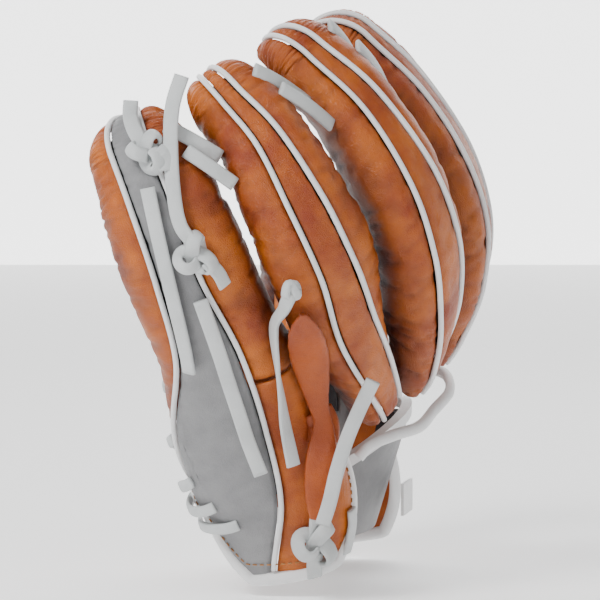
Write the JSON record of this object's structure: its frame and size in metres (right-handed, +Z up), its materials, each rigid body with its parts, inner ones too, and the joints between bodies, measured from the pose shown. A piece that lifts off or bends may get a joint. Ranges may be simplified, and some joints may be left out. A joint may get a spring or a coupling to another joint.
{
  "type": "baseball glove",
  "caption": "Left-hand fielding glove with padded finger stalls, laced web, open wrist back and strap, shown upright with a closed pocket.",
  "frame": {"origin": "centre of the hand opening at the wrist", "axes": "+Z up along the fingers, -Y out of the back of the fingers, +X towards the thumb"},
  "size_m": [0.2206, 0.1801, 0.2636],
  "materials": {
    "tan_leather": "satin",
    "grey_leather": "satin",
    "white_trim": "satin",
    "lace": "matt",
    "black_lining": "matt",
    "felt": "matt",
    "stiffener": "matt",
    "patch": "woven"
  },
  "bodies": {
    "hand": {"crotch_bead": "lace", "crotch_lace_tail": "lace", "finger_lacing": "lace", "finger_linings": "black_lining", "heel_binding": "white_trim", "index_back_panel": "tan_leather", "index_front": "tan_leather", "index_inner_gusset": "tan_leather", "index_outer_gusset": "tan_leather", "index_welts": "white_trim", "lower_lace_knot": "lace", "middle_back_panel": "tan_leather", "middle_front": "tan_leather", "middle_inner_gusset": "tan_leather", "middle_outer_gusset": "tan_leather", "middle_welts": "white_trim", "opening_binding": "white_trim", "palm_lining": "black_lining", "palm_pad": "felt", "palm_shell": "tan_leather", "pinky_back_panel": "grey_leather", "pinky_front": "tan_leather", "pinky_heel_lacing": "lace", "pinky_inner_gusset": "tan_leather", "pinky_outer_gusset": "tan_leather", "pinky_stiffener": "stiffener", "pinky_welts": "white_trim", "pull_tab": "tan_leather", "ring_back_panel": "tan_leather", "ring_front": "tan_leather", "ring_inner_gusset": "tan_leather", "ring_outer_gusset": "tan_leather", "ring_welts": "white_trim", "upper_lace_knot": "lace", "web_index_post": "grey_leather", "web_lacing": "lace", "web_middle_bar": "grey_leather", "web_top_bar": "grey_leather", "wrist_lace_knot": "lace", "wrist_panel": "tan_leather"},
    "thumb": {"thumb_back_panel": "grey_leather", "thumb_front": "tan_leather", "thumb_heel_binding": "white_trim", "thumb_heel_lacing": "lace", "thumb_inner_gusset": "tan_leather", "thumb_lining": "black_lining", "thumb_outer_gusset": "tan_leather", "thumb_palm_shell": "tan_leather", "thumb_stiffener": "stiffener", "thumb_welts": "white_trim", "thumb_wrist_panel": "tan_leather", "web_thumb_bars": "grey_leather", "web_thumb_post": "grey_leather"},
    "strap": {"wrist_strap": "grey_leather", "strap_lining": "black_lining", "strap_binding": "white_trim", "strap_patch": "patch"},
    "upper_tail": {"upper_lace_tail": "lace"},
    "lower_tail": {"lower_lace_tail": "lace"},
    "wrist_tail": {"wrist_lace_tail": "lace"}
  },
  "joints": [
    {"name": "pocket_hinge", "type": "hinge", "parent": "hand", "child": "thumb", "pos_m": [0.0284, 0.0303, 0], "axis": [0.1518, -0.2782, 0.9485], "range_deg": [-4, 20], "stiffness_Nm_per_rad": 0.5},
    {"name": "strap_adjust", "type": "hinge", "parent": "hand", "child": "strap", "pos_m": [0.01, 0.012, 0], "axis": [0, 0, 1], "range_deg": [-6, 6]},
    {"name": "upper_tail_swing", "type": "hinge", "parent": "hand", "child": "upper_tail", "pos_m": [-0.1277, -0.0555, 0.1519], "axis": [-0.5403, 0.8354, -0.101], "range_deg": [0, 40]},
    {"name": "lower_tail_swing", "type": "hinge", "parent": "hand", "child": "lower_tail", "pos_m": [-0.1053, -0.0639, 0.1025], "axis": [-0.7329, 0.5729, -0.3669], "range_deg": [0, 40]},
    {"name": "wrist_tail_swing", "type": "hinge", "parent": "hand", "child": "wrist_tail", "pos_m": [-0.0415, -0.0702, 0.0001], "axis": [0.7109, -0.6212, -0.3297], "range_deg": [0, 25]}
  ]
}
